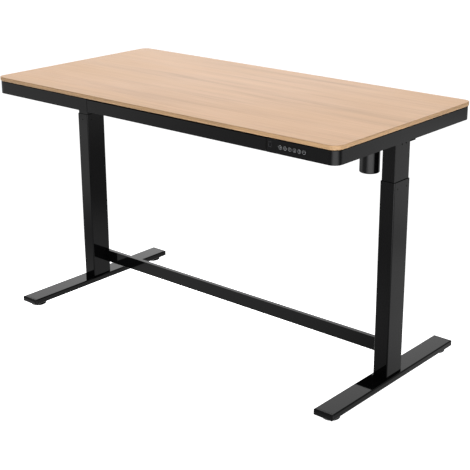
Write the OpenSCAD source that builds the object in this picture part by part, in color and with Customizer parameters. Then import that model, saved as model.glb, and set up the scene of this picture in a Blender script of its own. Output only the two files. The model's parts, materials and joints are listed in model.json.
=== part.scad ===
// Height adjustable standing desk: one motor, two telescopic legs joined by a
// cross shaft, a shallow drawer and a touch panel in the front apron.
// Frame: X along the desk, -Y is the front, Z up, origin on the floor under the
// middle of the tabletop. Millimetres.

/* [Overall] */
// Length of the tabletop
top_w = 1200; // [1000:10:1600]
// Depth of the tabletop
top_d = 600; // [500:10:800]
// Height of the tabletop's upper face with the legs right down
desk_h = 711; // [592:1:860]
// Shortest overlap of the two tubes of a leg, left at full height
tube_overlap = 55.7; // [50:1:120]

/* [Tabletop and apron] */
// Thickness of the wooden top
top_t = 11; // [10:0.5:30]
// Plan radius of the tabletop's corners
corner_r = 25; // [15:1:40]
// Chamfer along the top's upper edge
edge_up = 0.9; // [0.4:0.1:1.5]
// Chamfer along the top's lower edge
edge_low = 2.2; // [0.4:0.1:2.4]
// How far the apron's face stands back from the top's edge
apron_inset = 2; // [1:0.5:6]
// Height of the apron and its fixing flange
apron_h = 36; // [34:1:60]
// Sheet thickness of the apron and its brackets
sheet = 1.5; // [1:0.1:3]
// Height of the dark gap between the top and the apron's face
shadow_gap = 2; // [1:0.5:4]
// How far that gap reaches in behind the apron's face
gap_depth = 4; // [2:0.5:5]
// Width of the apron's upper fixing flange
flange_w = 17; // [14:1:18]
// Width of the apron's lower turned-in lip
lip_w = 10; // [6:1:14]

/* [Legs] */
// Distance from the end of the top to the middle of a leg
leg_inset = 44.4; // [40:0.1:150]
// Distance of the legs' middle behind the middle of the top
leg_y = 12.2; // [0:0.1:30]
// Outer tube, size along X
tube_x = 43; // [40:0.5:60]
// Outer tube, size along Y
tube_y = 69; // [62:0.5:90]
// Outer corner radius of the outer tube
tube_r = 3; // [3:0.5:6]
// Wall of the outer tube
outer_wall = 1.4; // [1.2:0.1:3]
// Wall of the inner tube
inner_wall = 1.6; // [1.2:0.1:3]
// Gap between the tubes along X
tube_gap_x = 1; // [0.8:0.1:2]
// Gap between the tubes along Y
tube_gap_y = 0.7; // [0.6:0.1:2]
// Distance from the top's upper face down to the outer tube's end
outer_drop = 154.9; // [130:0.1:200]
// Height of the plastic glide collar in the outer tube's mouth
collar_h = 38; // [25:1:40]
// Height of the glide shoe on the inner tube's lower end
shoe_h = 15; // [8:1:16]
// Running clearance between a glide and the tube that slides on it
glide_clear = 0.1; // [0.05:0.01:0.2]

/* [Feet] */
// Width of a foot
foot_w = 58; // [50:1:90]
// Length of the straight foot tube
foot_len = 548; // [450:1:600]
// Height of the foot tube
foot_t = 17; // [16:0.5:30]
// Radius along the foot tube's edges
foot_r = 3.5; // [2:0.5:4]
// Wall of the foot tube
foot_wall = 2; // [1.5:0.1:3]
// How far a foot cap's nose stands out of the tube
nose_len = 11; // [8:1:20]
// How far a foot cap's plug reaches into the tube
cap_plug = 14; // [8:1:20]
// Distance from a foot's end to the middle of its levelling foot
pad_inset = 26; // [23:1:60]
// Diameter of a levelling foot's pad
pad_d = 47; // [30:1:52]
// Thickness of a levelling foot's pad
pad_t = 6; // [4:0.5:8]
// Height of the hexagon above the pad
pad_hex_h = 3.4; // [3:0.1:8]
// Diameter of the levelling stud
stud_d = 8; // [6:1:10]

/* [Crossbar] */
// Depth of the crossbar
bar_y = 14; // [12:0.5:30]
// Height of the crossbar's section
bar_h = 38; // [25:0.5:50]
// Corner radius of the crossbar's section
bar_r = 1; // [1:0.5:4]
// Height of the crossbar's top above the floor
bar_top = 104.5; // [80:0.5:300]
// How far the crossbar's front face lies behind the legs' middle
bar_back = 16.5; // [0:0.5:16.5]
// Wall of the crossbar
bar_wall = 1.5; // [1:0.1:2.5]

/* [Drawer and panel] */
// Width of the drawer's front
drawer_w = 618; // [450:1:650]
// Depth of the drawer's tray
drawer_d = 235; // [200:1:240]
// Width of the touch panel
panel_w = 180; // [150:0.5:240]
// Depth of the touch panel's housing
panel_d = 30; // [24:1:40]
// Gap round the drawer's front
drawer_gap = 1.2; // [0.5:0.1:2]
// Thickness of the drawer's front
front_t = 12; // [8:1:18]
// Wall of the drawer's tray
tray_wall = 1.5; // [1:0.1:3]
// Height of the drawer's tray
tray_h = 27; // [20:1:30]
// Thickness of a three-part drawer slide
slide_t = 12.7; // [11:0.1:14]
// Height of a drawer slide
slide_h = 20; // [16:1:24]
// Number of touch keys on the panel
key_count = 6; // [3:1:8]

/* [Drive] */
// Diameter of the lead screws
screw_d = 12; // [10:1:14]
// Outer diameter of the tubes that carry the nuts
nut_tube_d = 25; // [20:1:28]
// Wall of the nut tubes
nut_tube_wall = 2; // [1.5:0.1:2.2]
// Length of a lead screw's nut
nut_h = 22; // [15:1:30]
// Size of the hexagonal cross shaft, across its flats
shaft_af = 7; // [6:0.5:8]
// Number of teeth of each bevel gear
bevel_n = 16; // [12:1:20]
// Pitch radius of the bevel gears
bevel_r = 10; // [9:0.5:11]
// Teeth of the worm wheel
wheel_n = 18; // [14:1:24]
// Lead of the worm
worm_lead = 4; // [3:0.1:5]
// Pitch radius of the worm
worm_r = 5.5; // [4.5:0.1:7]
// Distance from the end of the top to the middle of the motor
motor_inset = 110; // [100:1:200]
// Diameter of the motor
motor_d = 52; // [36:0.5:54]
// Length of the motor's can
motor_len = 86; // [60:1:120]

/* [Hidden] */
$fn = 64;
eps = 0.01;

// Colours
wood_col = [0.87, 0.74, 0.60];
black = [0.09, 0.09, 0.10];
gloss = [0.04, 0.04, 0.05];
steel = [0.62, 0.63, 0.65];
nylon = [0.20, 0.20, 0.21];
brass = [0.72, 0.58, 0.30];
board = [0.10, 0.35, 0.20];

// Heights
top_under = desk_h - top_t;
apron_low = top_under - apron_h;
foot_low = pad_t + pad_hex_h;
foot_top = foot_low + foot_t;
outer_top = desk_h - outer_drop;
inner_gap = 14;
inner_low = foot_top + inner_gap;
stroke = outer_top - inner_low - tube_overlap;

// Plan
leg_x = top_w / 2 - leg_inset;
face_x = top_w / 2 - apron_inset;
face_y = top_d / 2 - apron_inset;
apron_r = corner_r - apron_inset;

// Tube sections, all [x, y, corner radius]
outer_sec = [tube_x, tube_y, tube_r];
bore_sec = inset(outer_sec, outer_wall);
inner_sec = [bore_sec[0] - 2 * tube_gap_x, bore_sec[1] - 2 * tube_gap_y, max(1.2, bore_sec[2] - 0.6)];
inner_bore = inset(inner_sec, inner_wall);
pad_y = foot_len / 2 - pad_inset;
nose_r = 6;
nose_corner = 5;
stud_up = foot_low + foot_t - foot_wall - 2;

// Guide screws in the outer tubes and bolts in the feet
guide_drop = 17.5;
guide_dy = 20.2;
guide_d = 4.2;
bolt_d = 8;
bolt_dx = 10;
bolt_dy = 22;
plate_t = 5;

// Crossbar
bar_x = leg_x - tube_x / 2;
bar_y0 = leg_y + bar_back;
bar_mid_z = bar_top - bar_h / 2;
bar_sec = [bar_y, bar_h, bar_r];
plug_len = 16;
bar_bolt_d = 6;
bar_bolt_dz = 8;
bar_head_d = 10;
bar_head_h = 0.8;

// Top frame
beam_w = inner_sec[0] + 2 * sheet + 1;
beam_d = 14;
beam_len = min(480, top_d - 120);
rail_d = 24;
rail_h = 38;
rail_gap = 4;
box_top = top_under - sheet;
shaft_z = box_top - 26;
box_h = 34;
box_low = box_top - box_h;
spigot_len = 24;
spigot_fit = 0.2;
leg_screw_d = 5;
leg_screw_dy = 9;
leg_screw_off = 4.5;
leg_screw_z = box_low - 14.5;
inner_top = box_low;
rail_top = top_under - beam_d;
rail_y0 = leg_y + inner_sec[1] / 2 + rail_gap;

// Bevel pair: both cones meet at the shaft's axis above each lead screw
bevel_face = 4;
bevel_add = 0.9;
bevel_ded = 1.1;
bevel_hub = 4;
journal_d = 10;
run_fit = 0.05;

// Lead screw, nut and its tube
nut_top = outer_top - 34;
nut_low = nut_top - nut_h;
screw_low = nut_low + 6 - stroke;
screw_up = shaft_z - bevel_r;

// Motor, worm and worm wheel
wheel_r = wheel_n * worm_lead / 2 / PI;
worm_gap = wheel_r + worm_r + 0.05;
motor_x = top_w / 2 - motor_inset;
motor_y = leg_y - worm_gap;
worm_add = 1.1;
worm_ded = 1.4;
worm_len = 18;
wheel_t = 4;
gear_low = shaft_z - wheel_r - worm_add - 7;
can_low = gear_low - motor_len;
gear_box_x = motor_d + 4;

// Drawer, panel and slides
panel_x1 = top_w / 2 - corner_r;
panel_x0 = panel_x1 - panel_w;
drawer_x1 = panel_x0;
drawer_x0 = drawer_x1 - drawer_w;
front_y = -face_y;
front_top = top_under - shadow_gap;
front_low = apron_low;
tray_low = front_low + 2;
tray_y0 = front_y + front_t;
slide_z = tray_low + slide_h / 2 + 3;
slide_len = drawer_d - 10;
slide_y0 = tray_y0 + 3;
tray_x0 = drawer_x0 + slide_t + 4;
tray_x1 = drawer_x1 - slide_t - 4;
hang_w = 18;
panel_z = (front_top + front_low) / 2;
usb_x = panel_x0 + 11.6;
usb_z = panel_z + 3;
key_x0 = panel_x0 + 42.7;
key_pitch = 13.8;
key_d = 10.4;
key_t = 0.4;
lens_t = 3;

// Control box and inlet
ctrl = [210, 80, 28];
ctrl_x = -leg_x + 150;
ctrl_y1 = face_y - 12;
inlet_x = ctrl_x + 60;
inlet_w = 19;
inlet_h = 11;
inlet_up = 9;
inlet_z = top_under - ctrl[2] + inlet_up;

// A section shrunk by t on every side
function inset(s, t) = [s[0] - 2 * t, s[1] - 2 * t, max(0.6, s[2] - t)];

// Rounded rectangle in plan, centred
module rounded(s) {
    square([s[0] - 2 * s[2], s[1]], center = true);
    square([s[0], s[1] - 2 * s[2]], center = true);
    for (x = [-1, 1], y = [-1, 1])
        translate([x * (s[0] / 2 - s[2]), y * (s[1] / 2 - s[2])]) circle(s[2]);
}

// Hollow tube along Z between sections a (outside) and b (inside)
module ring(a, b, h) {
    linear_extrude(h) difference() {
        rounded(a);
        rounded(b);
    }
}

// Box from its low corner to its high corner
module block(a, b) {
    translate(a) cube([b[0] - a[0], b[1] - a[1], b[2] - a[2]]);
}

module at_legs() {
    for (s = [-1, 1]) translate([s * leg_x, leg_y, 0]) children();
}

// Hexagon bar of size af across its flats, along Z
module hex_bar(af, h) {
    cylinder(r = af / sqrt(3), h = h, $fn = 6);
}

// Cap screw along Z: head below z=0, shank above, hexagon socket in the head
module cap_screw(d, len, head_d, head_h, af) {
    difference() {
        union() {
            translate([0, 0, -head_h]) cylinder(d = head_d, h = head_h);
            cylinder(d = d, h = len);
        }
        translate([0, 0, -head_h - eps]) hex_bar(af, head_h * 0.6);
    }
}

// ---------------------------------------------------------------- base

module foot_bolt_spots() {
    for (x = [-1, 1], y = [-1, 1]) translate([x * bolt_dx, y * bolt_dy, foot_low]) children();
}

module foot(s) {
    color(black) translate([s * leg_x, leg_y, 0]) difference() {
        translate([0, foot_len / 2, foot_low + foot_t / 2]) rotate([90, 0, 0])
            ring([foot_w, foot_t, foot_r], inset([foot_w, foot_t, foot_r], foot_wall), foot_len);
        foot_bolt_spots() translate([0, 0, -eps]) cylinder(d = bolt_d, h = foot_t + 2 * eps);
        for (y = [-1, 1]) translate([0, y * pad_y, foot_low - eps])
            cylinder(d = stud_d + 2 * run_fit, h = foot_wall + 2 * eps);
    }
}

// Moulded end cap with a rounded nose; d is the end's direction along Y
module foot_cap(d) {
    plug = inset([foot_w, foot_t, foot_r], foot_wall + 0.1);
    mirror([0, d < 0 ? 1 : 0, 0]) translate([0, 0, foot_low + foot_t / 2]) {
        intersection() {
            rotate([90, 0, 90]) translate([0, 0, -foot_w / 2]) linear_extrude(foot_w) {
                intersection() {
                    rounded([2 * nose_len, foot_t, nose_r]);
                    translate([0, -foot_t / 2]) square([nose_len, foot_t]);
                }
            }
            rotate([-90, 0, 0]) translate([0, 0, -eps]) linear_extrude(nose_len + 1)
                rounded([foot_w, foot_t, foot_r]);
            translate([0, 0, -foot_t]) linear_extrude(2 * foot_t)
                rounded([foot_w, 2 * nose_len, nose_corner]);
        }
        translate([0, -cap_plug, 0]) rotate([-90, 0, 0]) linear_extrude(cap_plug + eps)
            rounded(plug);
    }
}

module foot_caps(s) {
    color(black) for (d = [-1, 1])
        translate([s * leg_x, leg_y + d * foot_len / 2, 0]) foot_cap(d);
}

// Levelling foot: moulded pad with a steel stud, d gives front (-1) or rear (1)
module leveller(s, d) {
    color(nylon) translate([s * leg_x, leg_y + d * pad_y, 0]) {
        cylinder(d1 = pad_d - 3, d2 = pad_d, h = 1.5);
        translate([0, 0, 1.5]) cylinder(d = pad_d, h = pad_t - 3);
        translate([0, 0, pad_t - 1.5]) cylinder(d1 = pad_d, d2 = pad_d - 6, h = 1.5);
        translate([0, 0, pad_t]) hex_bar(13, pad_hex_h - 0.2);
        translate([0, 0, pad_t]) cylinder(d = stud_d, h = stud_up - pad_t);
    }
}

// Screws that hold the glide collar: two on each X face, one on each Y face
module guide_spots() {
    z = outer_top - guide_drop;
    for (s = [-1, 1], y = [-1, 1]) translate([s * tube_x / 2, y * guide_dy, z])
        rotate([0, -s * 90, 0]) children();
    for (s = [-1, 1]) translate([0, s * tube_y / 2, z]) rotate([s * 90, 0, 0]) children();
}

module bar_bolt_spots(s) {
    for (z = [-1, 1]) translate([s * bar_x, bar_y0 + bar_y / 2, bar_mid_z + z * bar_bolt_dz])
        children();
}

module outer_tube(s) {
    color(black) difference() {
        translate([s * leg_x, leg_y, 0]) difference() {
            translate([0, 0, foot_top]) ring(outer_sec, bore_sec, outer_top - foot_top);
            guide_spots() translate([0, 0, -eps]) cylinder(d = guide_d, h = outer_wall + 2 * eps);
        }
        bar_bolt_spots(s) rotate([0, 90, 0]) translate([0, 0, -outer_wall * 1.5])
            cylinder(d = bar_bolt_d, h = 3 * outer_wall);
    }
}

// Thick plate welded into the outer tube's foot, threaded for the four bolts
module foot_plate(s) {
    color(steel) translate([s * leg_x, leg_y, 0]) difference() {
        translate([0, 0, foot_top]) linear_extrude(plate_t) rounded(inset(bore_sec, 0.1));
        foot_bolt_spots() cylinder(d = bolt_d, h = foot_t + plate_t + 1);
    }
}

module foot_bolts() {
    color(steel) at_legs() foot_bolt_spots() cap_screw(bolt_d, foot_t + plate_t, 13, 3.5, 5);
}

// Plastic glide collar seated in the outer tube's mouth
module collar(s) {
    run = [inner_sec[0] + 2 * glide_clear, inner_sec[1] + 2 * glide_clear, inner_sec[2] + glide_clear];
    color(nylon) translate([s * leg_x, leg_y, 0]) difference() {
        translate([0, 0, outer_top - collar_h]) ring(inset(bore_sec, 0.02), run, collar_h - 0.4);
        guide_spots() cylinder(d = guide_d, h = outer_wall + 2);
    }
}

// Short guide screws, and the bolts that hold the crossbar from inside the legs
module base_screws() {
    color(steel) {
        at_legs() guide_spots() difference() {
            translate([0, 0, 0.3]) cylinder(d = guide_d, h = outer_wall + 0.1);
            cylinder(d = guide_d * 0.5, h = 1, $fn = 6);
        }
        for (s = [-1, 1]) bar_bolt_spots(s) rotate([0, -s * 90, 0]) {
            translate([0, 0, -outer_wall]) cylinder(d = bar_bolt_d, h = outer_wall + plug_len - 3);
            translate([0, 0, -outer_wall - bar_head_h]) cylinder(d = bar_head_d, h = bar_head_h);
        }
    }
}

module crossbar() {
    color(black) translate([-bar_x, bar_y0 + bar_y / 2, bar_mid_z]) rotate([90, 0, 90])
        ring(bar_sec, inset(bar_sec, bar_wall), 2 * bar_x);
}

// Threaded plugs welded into the crossbar's ends
module crossbar_plugs() {
    color(steel) for (s = [-1, 1]) difference() {
        translate([s * bar_x, bar_y0 + bar_y / 2, bar_mid_z]) rotate([90, 0, -s * 90])
            linear_extrude(plug_len) rounded(inset(bar_sec, bar_wall + 0.05));
        bar_bolt_spots(s) rotate([0, -s * 90, 0]) translate([0, 0, -eps])
            cylinder(d = bar_bolt_d, h = plug_len + 1);
    }
}

module nut_tubes() {
    color(steel) at_legs() translate([0, 0, foot_top + plate_t]) difference() {
        cylinder(d = nut_tube_d, h = nut_low - foot_top - plate_t);
        translate([0, 0, -eps]) cylinder(d = nut_tube_d - 2 * nut_tube_wall, h = nut_low);
    }
}

module screw_nuts() {
    color(brass) at_legs() difference() {
        union() {
            translate([0, 0, nut_low]) cylinder(d = nut_tube_d, h = nut_h);
            translate([0, 0, nut_low - 8]) cylinder(d = nut_tube_d - 2 * nut_tube_wall, h = 8 + eps);
        }
        translate([0, 0, nut_low - 9]) cylinder(d = screw_d + 2 * run_fit, h = nut_h + 10);
    }
}

// ---------------------------------------------------------------- top and apron

module tabletop() {
    outer = [top_w, top_d, corner_r];
    color(wood_col) translate([0, 0, top_under]) difference() {
        union() {
            translate([0, 0, edge_low]) linear_extrude(top_t - edge_low - edge_up) rounded(outer);
            chamfered_rim(outer, edge_low);
            translate([0, 0, top_t]) mirror([0, 0, 1]) chamfered_rim(outer, edge_up);
        }
        translate([0, 0, -top_under]) wood_screw_spots() translate([0, 0, -eps])
            cylinder(d = wood_screw_d, h = wood_screw_in + eps);
    }
}

// Layer of height c whose rim widens by c from z=0
module chamfered_rim(s, c) {
    x = s[0] / 2;
    y = s[1] / 2;
    r = s[2];
    for (i = [-1, 1], j = [-1, 1]) translate([i * (x - r), j * (y - r), 0])
        cylinder(r1 = r - c, r2 = r, h = c);
    rotate([90, 0, 90]) translate([0, 0, -(x - r)]) linear_extrude(2 * (x - r))
        polygon([[-y + c, 0], [y - c, 0], [y, c], [-y, c]]);
    rotate([90, 0, 0]) translate([0, 0, -(y - r)]) linear_extrude(2 * (y - r))
        polygon([[-x + c, 0], [x - c, 0], [x, c], [-x, c]]);
}

// Apron profile in the plane across it: x runs inward from the outer face, y is the height
module apron_profile() {
    translate([0, apron_low]) square([sheet, apron_h - shadow_gap]);
    translate([0, apron_low]) square([lip_w, sheet]);
    translate([0, front_top - sheet]) square([gap_depth + sheet, sheet]);
    translate([gap_depth, front_top - sheet]) square([sheet, sheet + eps]);
    translate([gap_depth, front_top]) square([flange_w, shadow_gap]);
}

// Straight stretch of apron along +X from x0 to x1, its outer face at y=0 and inside at +y
module apron_run(x0, x1) {
    translate([x0, 0, 0]) rotate([90, 0, 90]) linear_extrude(x1 - x0) apron_profile();
}

// Quarter turn of apron about Z, from the -Y face round to the face at the given side
module apron_corner() {
    rotate_extrude(angle = 90) intersection() {
        translate([apron_r, 0]) mirror([1, 0]) apron_profile();
        translate([0, apron_low]) square([apron_r, apron_h]);
    }
}

module side_apron(s) {
    x = face_x - apron_r;
    y = face_y - apron_r;
    color(black) mirror([s < 0 ? 1 : 0, 0, 0]) difference() {
        union() {
            translate([face_x, 0, 0]) rotate([0, 0, 90]) apron_run(-y, y);
            translate([x, y, 0]) apron_corner();
            translate([x, -y, 0]) mirror([0, 1, 0]) apron_corner();
        }
        apron_screw_side() apron_screw_hole();
    }
}

// The front apron is a full length flange with its face only left of the drawer
module front_apron() {
    x = face_x - apron_r;
    color(black) translate([0, -face_y, 0]) difference() {
        union() {
            apron_run(-x, drawer_x0);
            translate([-x, gap_depth, front_top]) cube([2 * x, flange_w, shadow_gap]);
        }
        translate([0, face_y, 0]) apron_screw_front() apron_screw_hole();
    }
}

module rear_apron() {
    x = face_x - apron_r;
    color(black) difference() {
        rotate([0, 0, 180]) translate([0, -face_y, 0]) apron_run(-x, x);
        translate([inlet_x - inlet_w / 2 - 0.5, face_y - sheet - 1, inlet_z - inlet_h / 2 - 0.5])
            cube([inlet_w + 1, sheet + 2, inlet_h + 1]);
        apron_screw_rear() apron_screw_hole();
    }
}

// Wood screws, point up: from the apron's flange, the beams and the hangers
wood_screw_d = 4;
wood_screw_in = 7;
wood_head_d = 8;
flange_mid = gap_depth + flange_w * 0.62;
flange_back = gap_depth + flange_w - 4;

module apron_screw_side() {
    for (y = [-1, 0, 1]) translate([face_x - flange_mid, y * (face_y - 60), top_under]) children();
}

module apron_screw_front() {
    for (x = [-0.9, -0.5, 0.1, 0.55]) translate([x * leg_x, -face_y + flange_back, top_under]) children();
}

module apron_screw_rear() {
    for (x = [-1, -0.3, 0.3, 0.8]) translate([x * leg_x, face_y - flange_mid, top_under]) children();
}

module apron_screw_hole() {
    translate([0, 0, -shadow_gap - eps]) cylinder(d = wood_screw_d, h = shadow_gap + 2 * eps);
}

module beam_screw_spots() {
    for (s = [-1, 1], y = [-1, 1]) translate([s * leg_x, y * (beam_len / 2 - 25), top_under]) children();
}

module hanger_screw_spots() {
    for (x = [drawer_x0 - 7.5, drawer_x1 + 7.5], y = [0.3, 0.85])
        translate([x, slide_y0 + y * slide_len, top_under]) children();
}

module gear_screw_spots() {
    for (x = [-1, 1]) translate([motor_x + x * (gear_box_x / 2 + 7), leg_y, top_under]) children();
}

module ctrl_screw_spots() {
    for (x = [-1, 1]) translate([ctrl_x + x * (ctrl[0] / 2 + 7), ctrl_y1 - ctrl[1] / 2, top_under])
        children();
}

module wood_screw_spots() {
    for (s = [0, 1]) mirror([s, 0, 0]) apron_screw_side() children();
    apron_screw_front() children();
    apron_screw_rear() children();
    beam_screw_spots() children();
    hanger_screw_spots() children();
    gear_screw_spots() children();
    ctrl_screw_spots() children();
}

// Pan-head screws driven up through a flange of thickness t
module pan_screw(t) {
    difference() {
        union() {
            translate([0, 0, -t]) cylinder(d = wood_screw_d, h = t + wood_screw_in - 0.5);
            translate([0, 0, -t - 2]) cylinder(d1 = wood_head_d - 2, d2 = wood_head_d, h = 2);
        }
        translate([0, 0, -t - 2 - eps]) cylinder(d = 3, h = 1.4, $fn = 6);
    }
}

module wood_screws() {
    color(steel) {
        for (s = [0, 1]) mirror([s, 0, 0]) apron_screw_side() pan_screw(shadow_gap);
        apron_screw_front() pan_screw(shadow_gap);
        apron_screw_rear() pan_screw(shadow_gap);
        beam_screw_spots() pan_screw(sheet);
        hanger_screw_spots() pan_screw(sheet);
        gear_screw_spots() pan_screw(ear_t);
        ctrl_screw_spots() pan_screw(ear_t);
    }
}

// ---------------------------------------------------------------- top frame and legs

ear_t = 3;
ear_w = 14;

module side_beam(s) {
    color(black) translate([s * leg_x, 0, 0]) difference() {
        translate([0, 0, top_under - beam_d]) difference() {
            translate([-beam_w / 2, -beam_len / 2, 0]) cube([beam_w, beam_len, beam_d]);
            translate([-beam_w / 2 + sheet, -beam_len / 2 - 1, -1])
                cube([beam_w - 2 * sheet, beam_len + 2, beam_d + 1 - sheet]);
        }
        translate([-s * leg_x, 0, 0]) beam_screw_spots() translate([0, 0, -2 * sheet])
            cylinder(d = wood_screw_d, h = 3 * sheet);
        box_screw_spots() translate([0, 0, -sheet - 1]) cylinder(d = box_screw_d, h = sheet + 2);
    }
}

// Headless machine screws from the beam's web down into the gearbox
box_screw_d = 5;
box_screw_len = 11;
box_screw_dx = 12;
box_screw_dy = 26;

module box_screw_spots() {
    for (x = [-1, 1], y = [-1, 1]) translate([x * box_screw_dx, leg_y + y * box_screw_dy, top_under])
        children();
}

module rear_rail() {
    sec = [rail_d, rail_h, 2];
    x = leg_x + beam_w / 2 - 4;
    color(black) translate([-x, rail_y0 + rail_d / 2, rail_top - rail_h / 2]) rotate([90, 0, 90])
        ring(sec, inset(sec, sheet), 2 * x);
}

module leg_screw_spots() {
    for (s = [-1, 1], y = [-1, 1])
        translate([s * inner_sec[0] / 2, leg_screw_off + y * leg_screw_dy, leg_screw_z])
            rotate([0, -s * 90, 0]) children();
}

module inner_tube(s) {
    color(black) translate([s * leg_x, leg_y, 0]) difference() {
        translate([0, 0, inner_low]) ring(inner_sec, inner_bore, inner_top - inner_low);
        leg_screw_spots() translate([0, 0, -eps]) cylinder(d = leg_screw_d, h = inner_wall + 2 * eps);
    }
}

// Glide shoes round the inner tubes' lower ends, with a channel past the crossbar's bolts
module tube_shoes() {
    channel = bar_head_d + 1;
    color(nylon) for (s = [-1, 1]) difference() {
        translate([s * leg_x, leg_y, inner_low]) {
            ring(inset(bore_sec, glide_clear), inner_sec, shoe_h);
            translate([0, 0, -2]) ring(inset(bore_sec, glide_clear), inner_bore, 2);
        }
        translate([s * (leg_x - inner_sec[0] / 2 - tube_gap_x / 2), bar_y0 + bar_y / 2, inner_low - 3])
            translate([-tube_gap_x / 2, -channel / 2, 0]) cube([tube_gap_x, channel, shoe_h + 4]);
    }
}

// Cast gearbox on each leg: body under the beam, spigot inside the inner tube
module gearbox(s) {
    body = [inner_sec[0], inner_sec[1], 3];
    cave = bevel_r + bevel_add + 1.6;
    color(steel) translate([s * leg_x, leg_y, 0]) difference() {
        union() {
            translate([0, 0, box_low]) linear_extrude(box_h) rounded(body);
            translate([0, 0, box_low - spigot_len]) linear_extrude(spigot_len + eps)
                rounded(inset(inner_bore, spigot_fit));
        }
        // room for both bevels
        block([-bevel_r - bevel_hub - 0.6, -cave, screw_up - bevel_hub - 0.5], [cave, cave, shaft_z + cave]);
        // lead screw's journal
        translate([0, 0, box_low - spigot_len - 1]) cylinder(d = screw_d + 2 * run_fit, h = box_h);
        // cross shaft's journal, through the inner wall
        translate([0, 0, shaft_z]) rotate([0, -s * 90, 0])
            cylinder(d = journal_d + 2 * run_fit, h = body[0]);
        leg_screw_spots() cylinder(d = leg_screw_d, h = 9);
        translate([0, -leg_y, 0]) box_screw_spots() translate([0, 0, -box_screw_len - eps])
            cylinder(d = box_screw_d, h = box_screw_len + 2 * eps);
    }
}

// Machine screws of the top frame: gearbox to beam, and inner tube to spigot
module frame_screws() {
    color(steel) for (s = [-1, 1]) translate([s * leg_x, 0, 0]) {
        box_screw_spots() difference() {
            translate([0, 0, -box_screw_len]) cylinder(d = box_screw_d, h = box_screw_len - 0.1);
            translate([0, 0, -1.5]) hex_bar(2.5, 2);
        }
        translate([0, leg_y, 0]) leg_screw_spots() difference() {
            translate([0, 0, 0.3]) cylinder(d = leg_screw_d, h = 8);
            hex_bar(2.5, 1.4);
        }
    }
}

// ---------------------------------------------------------------- drive

// Straight bevel gear of a 45 degree pair. Its axis is Z, the pair's apex is at the
// origin and the gear lies below it; turn shifts the teeth.
module bevel(turn) {
    pitch = 360 / bevel_n;
    tip_r = bevel_r + bevel_add;
    root_r = bevel_r - bevel_ded;
    // half widths of a tooth as shares of the pitch at its root, pitch line and tip
    prof = [[root_r, 0.31], [bevel_r, 0.215], [tip_r, 0.12]];
    side = [for (i = [0:bevel_n - 1]) each concat(
        [for (p = prof) [p[0], (i - p[1]) * pitch + turn]],
        [for (p = [prof[2], prof[1], prof[0]]) [p[0], (i + p[1]) * pitch + turn]])];
    translate([0, 0, -bevel_r])
        linear_extrude(bevel_face, scale = (bevel_r - bevel_face) / bevel_r)
            polygon([for (p = side) p[0] * [cos(p[1]), sin(p[1])]]);
}

module lead_screw(s) {
    color(steel) translate([s * leg_x, leg_y, 0]) {
        translate([0, 0, screw_low + 3]) cylinder(d = screw_d, h = screw_up - screw_low - 3 - bevel_hub);
        translate([0, 0, screw_low]) cylinder(d1 = screw_d - 4, d2 = screw_d, h = 3 + eps);
        translate([0, 0, screw_up - bevel_hub - eps])
            hex_bar(shaft_af, bevel_hub + bevel_face - 0.5 + eps);
    }
}

module screw_bevel(s) {
    color(steel) translate([s * leg_x, leg_y, 0]) difference() {
        union() {
            translate([0, 0, shaft_z]) bevel(0);
            translate([0, 0, screw_up - bevel_hub]) cylinder(d = 15, h = bevel_hub + eps);
        }
        translate([0, 0, screw_up - bevel_hub - eps]) hex_bar(shaft_af, bevel_hub + bevel_face + 1);
    }
}

// The shaft's bevels both lie on the -X side of their screws, so the screws turn alike
module shaft_bevels() {
    half = 180 / bevel_n;
    color(steel) for (s = [-1, 1]) translate([s * leg_x, leg_y, shaft_z]) rotate([0, 90, 0])
        difference() {
            union() {
                bevel(half);
                translate([0, 0, -bevel_r - bevel_hub]) cylinder(d = 14, h = bevel_hub + eps);
            }
            translate([0, 0, -bevel_r - bevel_hub - eps]) hex_bar(shaft_af, bevel_hub + bevel_face + 1);
        }
}

module cross_shaft() {
    x0 = -leg_x - bevel_r - bevel_hub;
    x1 = leg_x - bevel_r + bevel_face - 1;
    wall_in = inner_sec[0] / 2;
    cave = bevel_r + bevel_add + 1.6;
    color(steel) translate([0, leg_y, shaft_z]) rotate([0, 90, 0]) {
        translate([0, 0, x0]) hex_bar(shaft_af, x1 - x0);
        // journals in the two gearboxes' inner walls
        translate([0, 0, -leg_x + cave + 0.4]) cylinder(d = journal_d, h = wall_in - cave + 1.6);
        translate([0, 0, leg_x - wall_in - 2])
            cylinder(d = journal_d, h = wall_in + 2 - bevel_r - bevel_hub);
    }
}

// Worm wheel on the cross shaft, teeth facing the worm at -Y
module worm_wheel() {
    pitch = 360 / wheel_n;
    tip = wheel_r + worm_add;
    root = wheel_r - worm_ded;
    color(brass) translate([motor_x, leg_y, shaft_z]) rotate([0, 90, 0]) difference() {
        union() {
            translate([0, 0, -wheel_t / 2]) linear_extrude(wheel_t) {
                circle(root);
                for (i = [0:wheel_n - 1]) rotate(i * pitch - 90)
                    polygon([[root - 1, -1.25], [root, -1.2], [wheel_r, -0.7], [tip, -0.3],
                             [tip, 0.3], [wheel_r, 0.7], [root, 1.2], [root - 1, 1.25]]);
            }
            translate([0, 0, -wheel_t / 2 - 5]) cylinder(d = 13, h = wheel_t + 10);
        }
        translate([0, 0, -wheel_t]) translate([0, 0, -6]) hex_bar(shaft_af, wheel_t * 2 + 12);
    }
}

// Section of the worm: one thread, wide at its root and slim at its tip, centred on angle 0
worm_wide = 128;
worm_slim = 46;
worm_step = 20;

function worm_edge(a) =
    worm_r - worm_ded + (worm_add + worm_ded)
        * min(1, max(0, (worm_wide - abs(a)) / (worm_wide - worm_slim)));

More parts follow.
